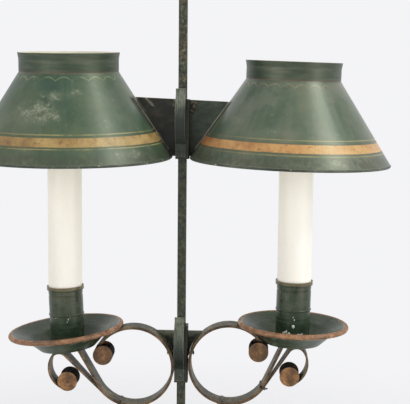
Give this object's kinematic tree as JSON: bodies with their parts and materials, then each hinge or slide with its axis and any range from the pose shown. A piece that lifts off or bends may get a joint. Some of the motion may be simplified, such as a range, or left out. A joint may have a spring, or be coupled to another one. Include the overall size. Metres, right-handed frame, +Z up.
{
  "type": "table lamp",
  "caption": "Painted sheet-iron table lamp: scroll arms with candle lights and drip pans, and a pair of cone shades, slide on a square rod over a dished foot.",
  "frame": {"origin": "centre of the felt disc's underside, on the axis of the rod", "axes": "+Z up along the rod, +X along the arms to the right seen from the front, the springs and the front face -Y"},
  "size_m": [0.3088, 0.1584, 0.5104],
  "materials": {
    "felt": "felt",
    "iron": "dark cast",
    "foot_paint": "worn satin paint",
    "rod_paint": "flaked satin paint",
    "slider_paint": "dark satin paint",
    "spring_paint": "worn satin paint",
    "web_paint": "dark satin paint",
    "shade_paint": "worn satin paint with gilt bands",
    "arm_paint": "worn gilt and olive paint",
    "pan_paint": "satin paint",
    "gilt": "tarnished gilt",
    "steel": "dull",
    "ivory": "satin",
    "brass": "plain",
    "holder": "moulded",
    "bulb": "frosted"
  },
  "bodies": {
    "stand": {"felt_pad": "felt", "base_weight": "iron", "base_dish": "foot_paint", "base_rim": "gilt", "stem_socket": "foot_paint", "stem_rod": "rod_paint", "stem_washer": "steel", "stem_nut": "steel", "top_ring": "rod_paint"},
    "shade_carrier": {"shade_sleeve": "slider_paint", "shade_spring": "spring_paint", "shade_spring_rivet": "steel", "shade_web": "web_paint", "shade_cone_left": "shade_paint", "shade_cone_right": "shade_paint", "shade_collar_left": "shade_paint", "shade_collar_right": "shade_paint", "shade_rim_left": "shade_paint", "shade_rim_right": "shade_paint"},
    "arm_carrier": {"arm_sleeve": "slider_paint", "arm_spring": "spring_paint", "arm_spring_rivet": "steel", "arm_web": "web_paint", "arm_ring_left": "arm_paint", "arm_ring_right": "arm_paint", "arm_scroll_left": "arm_paint", "arm_scroll_right": "arm_paint", "ring_roll_left": "gilt", "ring_roll_right": "gilt", "scroll_roll_left": "gilt", "scroll_roll_right": "gilt", "arm_tie_left": "steel", "arm_tie_right": "steel", "arm_rivet_left": "steel", "arm_rivet_right": "steel", "drip_pan_left": "pan_paint", "drip_pan_right": "pan_paint", "pan_rim_left": "gilt", "pan_rim_right": "gilt", "candle_cup_left": "pan_paint", "candle_cup_right": "pan_paint", "candle_sleeve_left": "ivory", "candle_sleeve_right": "ivory", "light_nipple_left": "brass", "light_nipple_right": "brass", "nipple_nut_left": "brass", "nipple_nut_right": "brass", "lampholder_left": "holder", "lampholder_right": "holder", "bulb_cap_left": "brass", "bulb_cap_right": "brass", "bulb_glass_left": "bulb", "bulb_glass_right": "bulb"}
  },
  "joints": [
    {"name": "shade_slide", "type": "slide", "parent": "stand", "child": "shade_carrier", "axis": [0, 0, 1], "range_m": [-0.05, 0.105]},
    {"name": "arm_slide", "type": "slide", "parent": "stand", "child": "arm_carrier", "axis": [0, 0, 1], "range_m": [-0.08, 0.05]}
  ]
}
